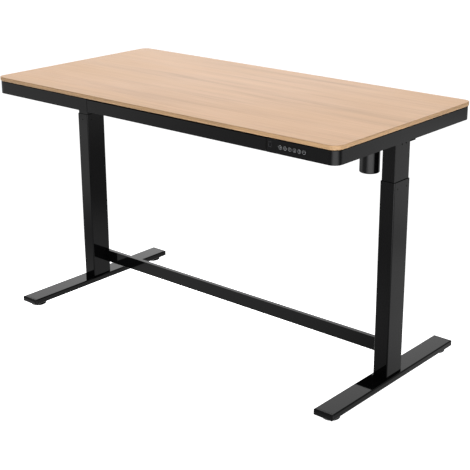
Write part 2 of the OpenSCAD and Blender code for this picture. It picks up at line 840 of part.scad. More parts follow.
// Motor shaft with a right-hand worm whose thread gap faces the wheel at mid height
module motor_worm() {
    root = worm_r - worm_ded;
    turns = worm_len / worm_lead;
    color(steel) translate([motor_x, motor_y, 0]) {
        translate([0, 0, shaft_z - worm_len / 2]) rotate(-90 - 180 * turns)
            linear_extrude(worm_len, twist = -360 * turns, slices = ceil(turns * 16), segments = 18)
                polygon([for (a = [-170:worm_step:170]) worm_edge(a) * [cos(a), sin(a)]]);
        translate([0, 0, can_low + 12])
            cylinder(r = root - 0.2, h = shaft_z + worm_len / 2 + 4 - can_low - 12);
    }
}

module motor_gearbox() {
    wheel_room = wheel_r + worm_add + 1.2;
    worm_room = worm_r + worm_add + 0.8;
    y0 = motor_y - motor_d / 2;
    y1 = leg_y + wheel_room + 2.5;
    color(black) difference() {
        union() {
            block([motor_x - gear_box_x / 2, y0, gear_low], [motor_x + gear_box_x / 2, y1, top_under]);
            block([motor_x - gear_box_x / 2 - ear_w, leg_y - 9, top_under - ear_t],
                  [motor_x + gear_box_x / 2 + ear_w, leg_y + 9, top_under]);
        }
        translate([motor_x, leg_y, shaft_z]) rotate([0, 90, 0]) {
            cylinder(r = wheel_room, h = wheel_t + 2, center = true);
            cylinder(d = 14, h = wheel_t + 12, center = true);
            cylinder(d = journal_d, h = gear_box_x + 2, center = true);
        }
        translate([motor_x, motor_y, gear_low - 1])
            cylinder(r = worm_room, h = shaft_z + worm_len / 2 + 6 - gear_low);
        gear_screw_spots() translate([0, 0, -ear_t - eps]) cylinder(d = wood_screw_d, h = ear_t + 2 * eps);
    }
}

// Can with a rolled lower edge and a recess for the rotor
module motor_can() {
    roll = 3;
    color(black) translate([motor_x, motor_y, can_low]) difference() {
        union() {
            translate([0, 0, roll]) cylinder(d = motor_d, h = motor_len - roll);
            translate([0, 0, roll]) rotate_extrude() translate([motor_d / 2 - roll, 0]) circle(roll);
            cylinder(d = motor_d - 2 * roll, h = roll + eps);
        }
        translate([0, 0, 10]) cylinder(r = worm_r + 1.5, h = motor_len);
    }
}

module control_box() {
    x0 = ctrl_x - ctrl[0] / 2;
    x1 = ctrl_x + ctrl[0] / 2;
    z0 = top_under - ctrl[2];
    step_y = face_y - gap_depth - flange_w - 1;
    step_z = front_top - 0.2;
    color(black) difference() {
        union() {
            block([x0, ctrl_y1 - ctrl[1], z0], [x1, ctrl_y1, step_z]);
            block([x0, ctrl_y1 - ctrl[1], z0], [x1, step_y, top_under]);
            block([x0 - ear_w, ctrl_y1 - ctrl[1] / 2 - 10, top_under - ear_t],
                  [x1 + ear_w, ctrl_y1 - ctrl[1] / 2 + 10, top_under]);
        }
        block([x0 + 2, ctrl_y1 - ctrl[1] + 2, z0 + 2], [x1 - 2, ctrl_y1 - 2, step_z - 2]);
        translate([inlet_x - inlet_w / 2, ctrl_y1 - 3, inlet_z - inlet_h / 2]) cube([inlet_w, 4, inlet_h]);
        ctrl_screw_spots() translate([0, 0, -ear_t - eps]) cylinder(d = wood_screw_d, h = ear_t + 2 * eps);
    }
}

// Two-pin mains inlet that shows in the rear apron
inlet_pin_x = 4.2;

module inlet_pins() {
    for (x = [-1, 1]) translate([x * inlet_pin_x, face_y - 0.5, 0]) rotate([-90, 0, 0]) children();
}

module power_inlet() {
    deep = 14;
    y1 = face_y - 0.5;
    color(nylon) translate([inlet_x, 0, inlet_z]) {
        difference() {
            translate([-inlet_w / 2, y1 - deep - 4, -inlet_h / 2]) cube([inlet_w, deep + 4, inlet_h]);
            inlet_pins() translate([0, 0, -deep]) cylinder(d = 8, h = deep + 1);
            translate([-inlet_pin_x, y1 - deep, -3.2]) cube([2 * inlet_pin_x, deep + 1, 6.4]);
        }
        inlet_pins() translate([0, 0, -deep - 1]) cylinder(d = 2.4, h = deep - 1);
    }
}

// Motor lead along the top's underside, from the control box to the motor gearbox
cable_d = 5;
cable_y = rail_y0 + rail_d + 10;

module motor_cable() {
    z = top_under - cable_d / 2 - 0.5;
    x0 = ctrl_x + ctrl[0] / 2 - 10;
    x1 = motor_x;
    y0 = ctrl_y1 - ctrl[1];
    y1 = leg_y + wheel_r + worm_add + 3.7;
    color(nylon) {
        translate([x0, y0, z]) rotate([90, 0, 0]) cylinder(d = cable_d, h = y0 - cable_y, $fn = 24);
        translate([x0, cable_y, z]) sphere(d = cable_d, $fn = 24);
        translate([x0, cable_y, z]) rotate([0, 90, 0]) cylinder(d = cable_d, h = x1 - x0, $fn = 24);
        translate([x1, cable_y, z]) sphere(d = cable_d, $fn = 24);
        translate([x1, cable_y, z]) rotate([90, 0, 0]) cylinder(d = cable_d, h = cable_y - y1, $fn = 24);
    }
}

// ---------------------------------------------------------------- touch panel

module touch_panel() {
    z0 = front_low;
    z1 = front_top;
    y0 = front_y;
    x0 = panel_x0 + drawer_gap;
    color(gloss) difference() {
        block([x0, y0, z0], [panel_x1 - 0.1, y0 + panel_d, z1]);
        block([x0 + 2, y0 + lens_t, z0 + 2], [panel_x1 - 2, y0 + panel_d - 2, z1 - 2]);
        translate([usb_x - usb_out[0] / 2, y0 - 1, usb_z - usb_out[1] / 2])
            cube([usb_out[0], lens_t + 2, usb_out[1]]);
        key_spots() translate([0, 0, -eps]) cylinder(d = key_d, h = key_t + eps);
    }
}

usb_out = [7.4, 14.4];
usb_in = [5.1, 12.4];

module key_spots() {
    for (i = [0:key_count - 1]) translate([key_x0 + i * key_pitch, front_y, panel_z]) rotate([-90, 0, 0])
        children();
}

module touch_keys() {
    color([0.75, 0.75, 0.77]) key_spots() cylinder(d = key_d, h = key_t);
}

module panel_board() {
    color(board) block([panel_x0 + 28, front_y + lens_t, front_low + 5],
                       [panel_x1 - 6, front_y + lens_t + 1.6, front_top - 5]);
}

// Upright socket: a shell with its contact tongue set back in it
module usb_socket() {
    deep = 15;
    color(steel) translate([usb_x, front_y, usb_z]) {
        difference() {
            translate([-usb_out[0] / 2, 0.2, -usb_out[1] / 2]) cube([usb_out[0], deep, usb_out[1]]);
            translate([-usb_in[0] / 2, -1, -usb_in[1] / 2]) cube([usb_in[0], deep - 1, usb_in[1]]);
        }
        translate([-0.9, 5.2, -usb_in[1] / 2 + 0.6]) cube([1.8, deep - 6.5, usb_in[1] - 1.2]);
    }
}

// ---------------------------------------------------------------- drawer

// C section of a slide member: open towards +X, back at x=0
module c_profile(w, h, t) {
    difference() {
        translate([0, -h / 2]) square([w, h]);
        translate([t, -h / 2 + t]) square([w, h - 2 * t]);
    }
}

slide_wall = 1.2;
slide_play = 0.3;

// Members stack from the fixed outer one (k=0) to the drawer's own (k=2), s is the side
module slide_member(s, k) {
    h = slide_h - 2 * k * (slide_wall + slide_play + 0.7);
    edge = s < 0 ? drawer_x0 + 2 : drawer_x1 - 2;
    off = k * (slide_wall + slide_play + 1.4);
    w = slide_t - off - (k == 2 ? 0 : 1.6);
    color(steel) translate([edge, slide_y0 + slide_len, slide_z]) mirror([s > 0 ? 1 : 0, 0, 0])
        translate([off, 0, 0]) rotate([90, 0, 0]) linear_extrude(slide_len) {
            if (k < 2) c_profile(w, h, slide_wall);
            if (k == 2) mirror([1, 0]) translate([-w, 0]) c_profile(w, h, slide_wall);
        }
}

// The fixed member hangs from the top by a folded flange
module slide_outer(s) {
    edge = s < 0 ? drawer_x0 + 2 : drawer_x1 - 2;
    color(steel) difference() {
        union() {
            slide_member(s, 0);
            translate([edge, slide_y0, 0]) mirror([s > 0 ? 1 : 0, 0, 0]) {
                translate([-sheet, 0, slide_z - slide_h / 2])
                    cube([sheet, slide_len, top_under - slide_z + slide_h / 2]);
                translate([-hang_w, 0, top_under - sheet]) cube([hang_w, slide_len, sheet]);
            }
        }
        hanger_screw_spots() translate([0, 0, -2 * sheet]) cylinder(d = wood_screw_d, h = 3 * sheet);
        // clearance under the front apron's flange
        translate([edge - 50, -face_y, front_top - 0.2])
            cube([100, gap_depth + flange_w + 1, shadow_gap + 1]);
    }
}

module drawer_front() {
    x0 = drawer_x0 + drawer_gap;
    x1 = drawer_x1 - drawer_gap;
    color(black) block([x0, front_y, front_low], [x1, front_y + front_t, front_top - drawer_gap]);
}

module drawer_tray() {
    t = tray_wall;
    color(black) difference() {
        block([tray_x0, tray_y0, tray_low], [tray_x1, tray_y0 + drawer_d, tray_low + tray_h]);
        block([tray_x0 + t, tray_y0 + t, tray_low + t],
              [tray_x1 - t, tray_y0 + drawer_d - t, tray_low + tray_h + 1]);
    }
}

foot(-1);  // left_foot
foot(1);  // right_foot
foot_caps(-1);  // left_foot_caps
foot_caps(1);  // right_foot_caps
leveller(-1, -1);  // left_leveller_front
leveller(-1, 1);  // left_leveller_rear
leveller(1, -1);  // right_leveller_front
leveller(1, 1);  // right_leveller_rear
outer_tube(-1);  // left_outer_tube
outer_tube(1);  // right_outer_tube
foot_plate(-1);  // left_foot_plate
foot_plate(1);  // right_foot_plate
foot_bolts();
collar(-1);  // left_collar
collar(1);  // right_collar
base_screws();
crossbar();
crossbar_plugs();
nut_tubes();
screw_nuts();
tabletop();
front_apron();
side_apron(-1);  // left_apron
side_apron(1);  // right_apron
rear_apron();
touch_panel();
touch_keys();
panel_board();
usb_socket();
side_beam(-1);  // left_side_beam
side_beam(1);  // right_side_beam
rear_rail();
inner_tube(-1);  // left_inner_tube
inner_tube(1);  // right_inner_tube
tube_shoes();
gearbox(-1);  // left_gearbox
gearbox(1);  // right_gearbox
motor_gearbox();
motor_can();
control_box();
power_inlet();
motor_cable();
frame_screws();
wood_screws();
slide_outer(-1);  // left_slide_outer
slide_outer(1);  // right_slide_outer
slide_member(-1, 1);  // left_slide_middle
slide_member(1, 1);  // right_slide_middle
slide_member(-1, 2);  // left_slide_inner
slide_member(1, 2);  // right_slide_inner
drawer_front();
drawer_tray();
lead_screw(-1);  // left_screw
lead_screw(1);  // right_screw
screw_bevel(-1);  // left_screw_bevel
screw_bevel(1);  // right_screw_bevel
cross_shaft();
shaft_bevels();
worm_wheel();
motor_worm();
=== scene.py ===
"""Height adjustable standing desk: visible shapes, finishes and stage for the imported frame."""
import json
import math

import bmesh
import bpy
from bpy.props import FloatProperty, FloatVectorProperty, PointerProperty
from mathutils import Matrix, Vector


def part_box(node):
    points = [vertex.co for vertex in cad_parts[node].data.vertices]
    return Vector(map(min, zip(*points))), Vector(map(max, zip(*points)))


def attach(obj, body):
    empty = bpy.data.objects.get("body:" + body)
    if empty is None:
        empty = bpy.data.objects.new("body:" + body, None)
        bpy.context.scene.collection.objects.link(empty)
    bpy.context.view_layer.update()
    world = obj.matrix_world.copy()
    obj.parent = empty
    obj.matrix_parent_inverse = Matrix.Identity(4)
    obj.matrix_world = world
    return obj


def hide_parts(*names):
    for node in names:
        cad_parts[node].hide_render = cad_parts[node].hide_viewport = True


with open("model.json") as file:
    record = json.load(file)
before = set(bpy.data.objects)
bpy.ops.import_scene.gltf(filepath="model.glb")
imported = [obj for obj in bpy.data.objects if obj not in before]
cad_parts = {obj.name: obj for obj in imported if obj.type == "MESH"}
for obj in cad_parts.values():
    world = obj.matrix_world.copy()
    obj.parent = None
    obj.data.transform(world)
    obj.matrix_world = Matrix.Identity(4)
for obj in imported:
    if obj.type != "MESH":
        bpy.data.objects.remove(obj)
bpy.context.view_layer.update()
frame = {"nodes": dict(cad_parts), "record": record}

bl_info = {
    "name": "Standing desk finishes",
    "version": (1, 0, 0),
    "blender": (4, 5, 0),
    "location": "3D View > Sidebar > Desk",
    "description": "Builds the visible pieces, finishes and stage of a height adjustable desk",
    "category": "Object",
}

MM = 0.001


# ------------------------------------------------------------------ fixed values

# Tabletop
CORNER_RADIUS = 25 * MM
CORNER_STEPS = 20
EDGE_STEPS = 5
TOP_KEPT_ANGLE = 35

# Rounded edges: a bend under FLAT_ANGLE counts as flat, one over ROUNDED_ANGLE is rounded (degrees)
WELD_DISTANCE = 0.002 * MM
FLAT_ANGLE = 0.6
ROUNDED_ANGLE = 38
ROUND_SEGMENTS = 2
PANEL_ROUND = 0.3 * MM
SOCKET_ROUND = 0.2 * MM

# Wood: shares of the veneer's red, green and blue
DRIFT_SHARE = (0.97, 0.93, 0.84)
BAND_SHARE = (1, 0.95, 0.76)
BAND_DARK, BAND_LIGHT = 0.35, 0.48

# Print: a stroke runs past its ends by this share of half its width
STROKE_OVERRUN = 0.7
RING_STEPS = 36

# Camera
SENSOR_WIDTH = 36
VIEW_DEPTH = 200

# Floor: greys of its own colour, slow change of its glow, and its pools of light
FLOOR_DARK, FLOOR_LIGHT = (0.15, 0.15, 0.15), (0.16, 0.16, 0.16)
GLOW_DRIFT = 0.02
POOL_FALL = 4
POOLS = (  # strength's setting, x, y, radius
    ("pool_left", -3.3, -2.4, 1.5),
    ("pool_front", -1.7, -1.1, 0.8),
    ("pool_under", -0.15, -0.1, 0.6),
    ("pool_right", 1.9, 1.7, 1.1),
    ("pool_side", 1.0, 0.4, 0.5),
    ("pool_wide", -1.0, -2.0, 1.5),
    ("pool_near", 2.3, -1.85, 1.6),
)

# Sky: heights between which it brightens, direction and tightness of its bright area
RISE_FROM, RISE_TO = 0.05, 0.35
BACK_DIRECTION = (-0.62, 0.69, 0.38)
BACK_TIGHTNESS = 14


# ------------------------------------------------------------------ sizes and colours

class DeskTopSettings(bpy.types.PropertyGroup):
    """Wooden top."""
    veneer: FloatVectorProperty(
        name="Veneer", description="Mean colour of the veneer", subtype="COLOR",
        size=3, min=0, max=1, default=(0.497, 0.327, 0.214))
    grain_depth: FloatProperty(
        name="Grain contrast", description="How strongly the grain darkens the veneer",
        default=0.22, min=0, max=1)
    upper_round: FloatProperty(
        name="Upper rounding", description="Radius of the top's upper edge",
        default=0.9 * MM, unit="LENGTH")
    lower_round: FloatProperty(
        name="Lower rounding", description="Radius of the top's lower edge",
        default=2.4 * MM, unit="LENGTH")


class DeskPaintSettings(bpy.types.PropertyGroup):
    """Black paint and plastics."""
    black: FloatVectorProperty(
        name="Black", description="Colour of the gloss paint", subtype="COLOR",
        size=3, min=0, max=1, default=(0.0012, 0.0012, 0.0013))
    gloss: FloatProperty(
        name="Roughness", description="Roughness of the gloss paint", default=0.045, min=0, max=1)
    strength: FloatProperty(
        name="Specular level", description="Strength of the paint's mirror reflection",
        default=0.048, min=0, max=1)
    edge: FloatProperty(
        name="Edge radius", description="Radius of a folded, tubular or moulded piece's edge",
        default=0.45 * MM, unit="LENGTH")


class DeskPanelSettings(bpy.types.PropertyGroup):
    """Touch panel."""
    key_size: FloatProperty(
        name="Key size", description="Diameter of a printed key", default=9.4 * MM, unit="LENGTH")
    key_line: FloatProperty(
        name="Line width", description="Width of a key's printed lines", default=0.55 * MM, unit="LENGTH")
    print_height: FloatProperty(
        name="Print height", description="Thickness of the print", default=0.06 * MM, unit="LENGTH")


class DeskStageSettings(bpy.types.PropertyGroup):
    """Camera, floor and light."""
    camera_place: FloatVectorProperty(
        name="Camera", description="Place of the camera", subtype="TRANSLATION", unit="LENGTH",
        size=3, default=(2.00028, -2.26351, 1.36384))
    camera_turn: FloatProperty(
        name="Turn", description="Turn of the camera about the vertical", subtype="ANGLE",
        default=math.radians(40.07))
    camera_down: FloatProperty(
        name="Downward tilt", description="Tilt of the camera below the horizon", subtype="ANGLE",
        default=math.radians(18.24))
    lens: FloatProperty(name="Lens", description="Focal length in millimetres", default=86.18)
    shift_x: FloatProperty(name="Shift X", description="Sideways shift of the lens", default=-0.0323)
    shift_y: FloatProperty(name="Shift Y", description="Upward shift of the lens", default=-0.0597)
    floor_size: FloatProperty(
        name="Floor", description="Side of the square floor", default=60.0, unit="LENGTH")
    sky_low: FloatProperty(
        name="Horizon light", description="Strength of light from the horizon", default=0.5)
    sky_high: FloatProperty(
        name="Overhead light", description="Extra strength of light from above", default=0.75)
    sky_back: FloatProperty(
        name="Back light", description="Extra strength of the light low at the back left", default=2.35)
    floor_glow: FloatProperty(
        name="Floor glow", description="Light given off by the lit floor", default=0.9, min=0)
    pool_left: FloatProperty(
        name="Far left pool", description="Extra light on the floor far left", default=1.9)
    pool_front: FloatProperty(
        name="Front pool", description="Extra light on the floor in front", default=2.2)
    pool_under: FloatProperty(
        name="Middle pool", description="Extra light on the floor under the top", default=1.9)
    pool_right: FloatProperty(
        name="Back right pool", description="Extra light on the floor behind the right leg", default=1.3)
    pool_side: FloatProperty(
        name="Side pool", description="Extra light on the floor beside the right foot", default=1.1)
    pool_wide: FloatProperty(
        name="Wide pool", description="Extra light on the floor before the desk", default=0.9)
    pool_near: FloatProperty(
        name="Near pool", description="Extra light on the floor below the camera", default=15.0)


SETTINGS = {
    "desk_top": DeskTopSettings,
    "desk_paint": DeskPaintSettings,
    "desk_panel": DeskPanelSettings,
    "desk_stage": DeskStageSettings,
}


# ------------------------------------------------------------------ shader helpers

class Val:
    """A node's output. Arithmetic on it adds Math nodes to its tree."""

    def __init__(self, tree, socket):
        self.tree = tree
        self.socket = socket

    def maths(self, operation, a, b=None):
        node = self.tree.nodes.new("ShaderNodeMath")
        node.operation = operation
        for i, value in enumerate((a, b)):
            if isinstance(value, Val):
                self.tree.links.new(value.socket, node.inputs[i])
            elif value is not None:
                node.inputs[i].default_value = value
        return Val(self.tree, node.outputs[0])

    def __add__(self, other):
        return self.maths("ADD", self, other)

    def __mul__(self, other):
        return self.maths("MULTIPLY", self, other)

    def __rmul__(self, other):
        return self.maths("MULTIPLY", other, self)

    def __truediv__(self, other):
        return self.maths("DIVIDE", self, other)

    def __rpow__(self, other):
        return self.maths("POWER", other, self)

    def __pow__(self, other):
        return self.maths("POWER", self, other)


class Nodes:
    """A node tree that nodes are added to."""

    def __init__(self, tree):
        self.tree = tree

    def add(self, kind, settings=None, out=0, **inputs):
        """Adds a node: its settings first, then its sockets' values or links; returns one output."""
        node = self.tree.nodes.new(kind)
        for key, value in (settings or {}).items():
            if key == "stops":
                self.set_stops(node.color_ramp, value)
            else:
                setattr(node, key, value)
        for key, value in inputs.items():
            socket = node.inputs[int(key[1:])] if key[0] == "_" else node.inputs[key.replace("_", " ")]
            if isinstance(value, Val):
                self.tree.links.new(value.socket, socket)
            else:
                socket.default_value = value
        return None if out is None else Val(self.tree, node.outputs[out])

    @staticmethod
    def set_stops(ramp, stops):
        while len(ramp.elements) > 1:
            ramp.elements.remove(ramp.elements[-1])
        ramp.elements[0].position = stops[0][0]
        ramp.elements[0].color = (*stops[0][1], 1)
        for position, colour in stops[1:]:
            ramp.elements.new(position).color = (*colour, 1)


class Finish(Nodes):
    """A material with one glossy or matt shader."""

    def __init__(self, name, **fixed):
        self.material = bpy.data.materials.new(name)
        self.material.use_nodes = True
        super().__init__(self.material.node_tree)
        self.shader = next(n for n in self.tree.nodes if n.type == "BSDF_PRINCIPLED")
        for socket, value in fixed.items():
            self.shader.inputs[socket.replace("_", " ")].default_value = value
        self.place = self.add("ShaderNodeTexCoord", out="Object")

    def stretched(self, x, y, z, place=None):
        """The place coordinates, stretched by a factor along each axis."""
        return self.add("ShaderNodeMapping", _0=place or self.place, _3=(x, y, z))

    def noise(self, scale, detail=3.0, rough=0.5, at=None, **more):
        return self.add("ShaderNodeTexNoise", Vector=at or self.place, Scale=scale,
                        Detail=detail, Roughness=rough, **more)

    def ramp(self, value, *stops):
        return self.add("ShaderNodeValToRGB", {"stops": stops}, Fac=value)

    def mix(self, share, a, b, how="MIX"):
        """Mixes two colours; share is how much of b."""
        return self.add("ShaderNodeMix", {"data_type": "RGBA", "blend_type": how}, out=2,
                        _0=share, _6=a, _7=b)

    def spread(self, value, low, high):
        """Maps 0..1 to low..high."""
        return value * (high - low) + low

    def feed(self, **links):
        for socket, value in links.items():
            self.tree.links.new(value.socket, self.shader.inputs[socket.replace("_", " ")])
        return self

    def bump(self, height, strength, distance):
        normal = self.add("ShaderNodeBump", Height=height, Strength=strength, Distance=distance)
        return self.feed(Normal=normal)


def shade(colour, factor):
    return (*[min(1, c * factor) for c in colour[:3]], 1)


# ------------------------------------------------------------------ finishes

def veneer_finish():
    """Straight-grained light veneer: long streaks, fine pores and a slow drift of tone."""
    top = bpy.context.scene.desk_top
    f = Finish("light_veneer", Specular_IOR_Level=0.04)
    warp = f.noise(1.6, detail=2.0, at=f.stretched(0.5, 2.0, 1.0), out="Color")
    bent = f.add("ShaderNodeMix", {"data_type": "VECTOR"}, out=1, _0=0.035, _4=f.place, _5=warp)
    streaks = f.noise(9.0, detail=5.0, rough=0.62, at=f.stretched(0.16, 3.2, 1.0, bent))
    fine = f.noise(60.0, detail=3.0, rough=0.55, at=f.stretched(0.05, 4.0, 1.0, bent))
    pores = f.noise(240.0, detail=2.0, rough=0.6, at=f.stretched(0.035, 2.2, 1.0, bent))
    drift = f.noise(2.2, detail=2.0, rough=0.5, at=f.stretched(0.6, 1.6, 1.0))
    depth = top.grain_depth
    base = f.ramp(streaks, (0.30, shade(top.veneer, 1 - 1.2 * depth)[:3]),
                  (0.48, shade(top.veneer, 1.0)[:3]),
                  (0.66, shade(top.veneer, 1 + 0.45 * depth)[:3]))
    deeper = (*[c * share for c, share in zip(top.veneer, DRIFT_SHARE)], 1)
    tone = f.mix(f.ramp(drift, (0.35, (0, 0, 0)), (0.65, (1, 1, 1))), base, deeper)
    lines = f.ramp(fine, (0.36, (0.86, 0.83, 0.80)), (0.52, (1, 1, 1)))
    tone = f.mix(0.55, tone, lines, "MULTIPLY")
    pore = f.ramp(pores, (0.30, (0.80, 0.76, 0.72)), (0.44, (1, 1, 1)))
    tone = f.mix(0.45, tone, pore, "MULTIPLY")
    f.feed(Base_Color=tone, Roughness=f.spread(streaks, 0.36, 0.50))
    return f.bump(fine + 0.6 * pores, 0.25, 0.12 * MM).material


def edge_finish():
    """Edge band in the veneer's wood, darker, with its grain along the edge."""
    top = bpy.context.scene.desk_top
    f = Finish("edge_band", Specular_IOR_Level=0.1)
    grain = f.noise(40.0, detail=4.0, rough=0.6, at=f.stretched(0.15, 0.15, 6.0))
    dark, light = [tuple(c * share * factor for c, share in zip(top.veneer, BAND_SHARE))
                   for factor in (BAND_DARK, BAND_LIGHT)]
    f.feed(Base_Color=f.ramp(grain, (0.3, dark), (0.7, light)),
           Roughness=f.spread(grain, 0.42, 0.55))
    return f.bump(grain, 0.15, 0.1 * MM).material


def backing_finish():
    """Plain balancing sheet under the top."""
    f = Finish("backing_sheet", Specular_IOR_Level=0.3)
    fleck = f.noise(220.0, detail=4.0, rough=0.6)
    f.feed(Base_Color=f.ramp(fleck, (0.3, (0.40, 0.29, 0.20)), (0.7, (0.47, 0.35, 0.25))),
           Roughness=f.spread(fleck, 0.55, 0.68))
    return f.bump(fleck, 0.1, 0.05 * MM).material


def gloss_black(name, colour, rough, level, peel=0.05):
    """Smooth gloss coat with a faint orange peel and a slow change in gloss."""
    f = Finish(name, Specular_IOR_Level=level)
    cloud = f.noise(7.0, detail=3.0)
    skin = f.noise(420.0, detail=2.0)
    speck = f.noise(1500.0, detail=1.0)
    dull = f.ramp(cloud, (0.35, (rough * 0.8,) * 3), (0.7, (rough * 1.35,) * 3))
    tint = f.ramp(speck, (0.35, shade(colour, 0.85)[:3]), (0.75, shade(colour, 1.25)[:3]))
    f.feed(Base_Color=tint, Roughness=f.add("ShaderNodeSeparateColor", Color=dull))
    return f.bump(skin, peel, 0.02 * MM).material


def moulded_plastic(name, colour, rough=0.42, level=0.35):
    """Moulded plastic with a fine eroded grain."""
    f = Finish(name, Specular_IOR_Level=level)
    grain = f.noise(900.0, detail=3.0, rough=0.6)
    cloud = f.noise(14.0, detail=2.0)
    f.feed(Base_Color=f.ramp(cloud, (0.3, shade(colour, 0.9)[:3]), (0.7, shade(colour, 1.12)[:3])),
           Roughness=f.spread(grain, rough - 0.06, rough + 0.08))
    return f.bump(grain, 0.22, 0.05 * MM).material


def bare_metal(name, colour, rough, along=(1, 1, 12), scale=160.0, depth=0.12):
    """Metal with fine lines; along stretches them."""
    f = Finish(name, Metallic=1.0)
    lines = f.noise(scale, 4.0, 0.6, at=f.stretched(*along))
    bloom = f.noise(22.0, detail=3.0)
    f.feed(Base_Color=f.ramp(bloom, (0.3, shade(colour, 0.86)[:3]), (0.7, shade(colour, 1.06)[:3])),
           Roughness=f.spread(lines, rough - 0.07, rough + 0.1))
    return f.bump(lines, depth, 0.03 * MM).material


def board_finish():
    """Circuit board: solder mask with darker tracks."""
    f = Finish("solder_mask", Specular_IOR_Level=0.5)
    upright = f.add("ShaderNodeMapping", _0=f.place, _2=(math.pi / 2, 0, 0))
    tracks = f.add("ShaderNodeTexBrick", out=1, Vector=upright, Scale=110.0)
    f.feed(Base_Color=f.ramp(tracks, (0.2, (0.010, 0.075, 0.030)), (0.8, (0.02, 0.15, 0.06))),
           Roughness=f.spread(f.noise(60.0), 0.28, 0.4))
    return f.material


def print_finish():
    """Pale print on the touch panel, faintly lit from behind."""
    f = Finish("key_print", Specular_IOR_Level=0.2, Emission_Strength=0.05)
    worn = f.noise(600.0, detail=2.0)
    pale = f.ramp(worn, (0.3, (0.11, 0.112, 0.116)), (0.7, (0.15, 0.153, 0.16)))
    f.feed(Base_Color=pale, Emission_Color=pale, Roughness=f.spread(worn, 0.3, 0.4))
    return f.material


def make_finishes():
    paint = bpy.context.scene.desk_paint
    black = tuple(paint.black)
    return {
        "veneer": veneer_finish(),
        "edge": edge_finish(),
        "backing": backing_finish(),
        "black_metal": gloss_black("gloss_black_coat", black, paint.gloss, paint.strength),
        "motor_black": gloss_black("motor_enamel", black, rough=0.07, level=0.06, peel=0.08),
        "panel_gloss": gloss_black("panel_lens", shade(black, 0.9)[:3], rough=0.03,
                                   level=paint.strength, peel=0.0),
        "black_steel": gloss_black("black_screw_plating", (0.003, 0.003, 0.003), rough=0.4,
                                   level=0.03, peel=0.2),
        "dark_nickel": bare_metal("dark_nickel", (0.030, 0.030, 0.032), rough=0.3, along=(1, 1, 6)),
        "key_print": print_finish(),
        "black_plastic": moulded_plastic("black_moulding", (0.004, 0.004, 0.0042), rough=0.25,
                                         level=0.045),
        "nylon": moulded_plastic("black_nylon", (0.004, 0.004, 0.0042), rough=0.25, level=0.08),
        "drawer_liner": moulded_plastic("tray_moulding", (0.020, 0.020, 0.021), rough=0.5),
        "plain_steel": bare_metal("zinc_plated_steel", (0.52, 0.53, 0.55), rough=0.32),
        "cast_alloy": bare_metal("cast_alloy", (0.50, 0.50, 0.51), rough=0.52, along=(1, 1, 1),
                                 scale=420.0, depth=0.4),
        "bronze": bare_metal("bronze", (0.60, 0.42, 0.19), rough=0.28, along=(6, 6, 1)),
        "board": board_finish(),
    }


FINISH = {}


def finish(name):
    if not FINISH:
        FINISH.update(make_finishes())
    return FINISH[name]


# ------------------------------------------------------------------ mesh helpers

def body_of(node):
    for body, members in frame["record"]["behaviour"]["bodies"].items():
        if node in members:
            return body
    raise ValueError(f"no body holds {node}")


def slot_of(node):
    return next(s["material_slot"] for s in frame["record"]["subparts"] if s["node"] == node)


def new_piece(name, mesh_maker, materials, body, slot, *nodes):
    """An object from a bmesh, riding on a body and standing for CAD nodes."""
    mesh = bpy.data.meshes.new(name)
    shape = bmesh.new()
    mesh_maker(shape)
    shape.to_mesh(mesh)
    shape.free()
    for m in materials:
        mesh.materials.append(m)
    piece = bpy.data.objects.new(name, mesh)
    bpy.context.scene.collection.objects.link(piece)
    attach(piece, body)
    if nodes:
        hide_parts(*nodes)
    return piece


def bake_modifiers(piece):
    """Applies the piece's modifiers to its mesh."""
    graph = bpy.context.evaluated_depsgraph_get()
    mesh = bpy.data.meshes.new_from_object(piece.evaluated_get(graph))
    old = piece.data
    piece.modifiers.clear()
    piece.data = mesh
    mesh.name = piece.name
    bpy.data.meshes.remove(old)
    return piece


def smooth(piece, angle):
    """Smooth shading, with edges sharper than the angle in degrees kept."""
    for polygon in piece.data.polygons:
        polygon.use_smooth = True
    piece.data.set_sharp_from_angle(angle=math.radians(angle))
    return piece


def rounded_piece(node, radius, material):
    """The CAD node's own shape with its folded and moulded edges rounded."""
    def fill(shape):
        shape.from_mesh(frame["nodes"][node].data)
        bmesh.ops.remove_doubles(shape, verts=shape.verts, dist=WELD_DISTANCE)
        bmesh.ops.dissolve_limit(shape, angle_limit=math.radians(FLAT_ANGLE),
                                 verts=shape.verts, edges=shape.edges)
        for face in shape.faces:
            face.material_index = 0
    piece = new_piece(node + "_finished", fill, [material], body_of(node), slot_of(node), node)
    bevel = piece.modifiers.new("round", "BEVEL")
    bevel.limit_method = "ANGLE"
    bevel.angle_limit = math.radians(ROUNDED_ANGLE)
    bevel.width = radius
    bevel.segments = ROUND_SEGMENTS
    bevel.use_clamp_overlap = True
    piece.modifiers.new("flat faces", "WEIGHTED_NORMAL").keep_sharp = True
    smooth(piece, ROUNDED_ANGLE)
    return bake_modifiers(piece)


def dress(node, material):
    """Gives a CAD node's own mesh a finish."""
    piece = frame["nodes"][node]
    piece.data.materials.clear()
    piece.data.materials.append(material)


def outline(half_x, half_y, radius):
    """Points round a rounded rectangle, anticlockwise from the +X side."""
    points = []
    for corner, (sx, sy) in enumerate(((1, 1), (-1, 1), (-1, -1), (1, -1))):
        for i in range(CORNER_STEPS + 1):
            a = math.pi / 2 * (corner + i / CORNER_STEPS)
            points.append((sx * (half_x - radius) + radius * math.cos(a),
                           sy * (half_y - radius) + radius * math.sin(a)))
    return points


def loft(shape, rings, band):
    """Skins a stack of equal closed rings in one material and returns its rows; the ends stay open."""
    rows = [[shape.verts.new(p) for p in ring] for ring in rings]
    for low, high in zip(rows, rows[1:]):
        for i in range(len(low)):
            j = (i + 1) % len(low)
            face = shape.faces.new((low[i], low[j], high[j], high[i]))
            face.material_index = band
    return rows


